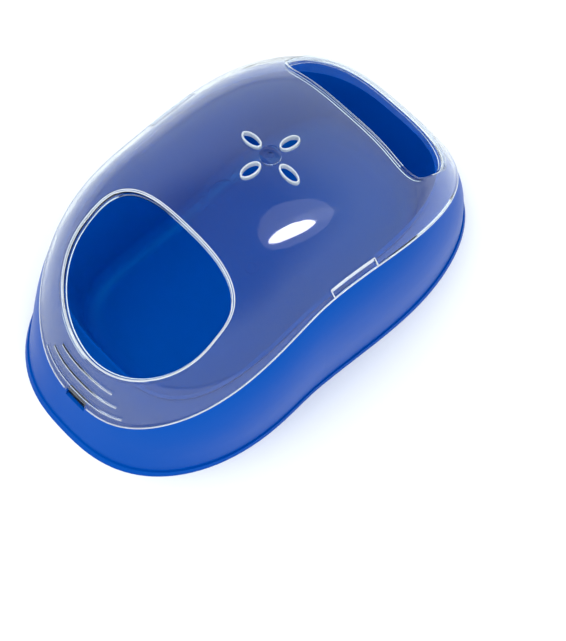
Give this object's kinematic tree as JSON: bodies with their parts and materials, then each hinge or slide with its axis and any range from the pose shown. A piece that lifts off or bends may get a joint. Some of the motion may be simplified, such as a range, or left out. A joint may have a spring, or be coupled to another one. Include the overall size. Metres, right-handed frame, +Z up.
{
  "type": "hooded litter box",
  "caption": "Low oval litter box for a kitten or other small pet: opaque tray with a raised inner tub, and a clear dome hood with a front entrance, a rear opening and top vents.",
  "frame": {"origin": "centre of the footprint, on the floor under the tray", "axes": "+Z up, the entrance faces -Y, the rear opening faces +Y, X across the width"},
  "size_m": [0.242, 0.4, 0.1695],
  "materials": {
    "tray_plastic": "glossy moulded blue plastic",
    "hood_plastic": "clear glossy moulded plastic"
  },
  "bodies": {
    "tray": {"tray": "tray_plastic"},
    "hood": {"hood": "hood_plastic"}
  },
  "joints": [
    {"name": "hood_lift", "type": "slide", "parent": "tray", "child": "hood", "axis": [0, 0, 1], "range_m": [0, 0.2]}
  ]
}
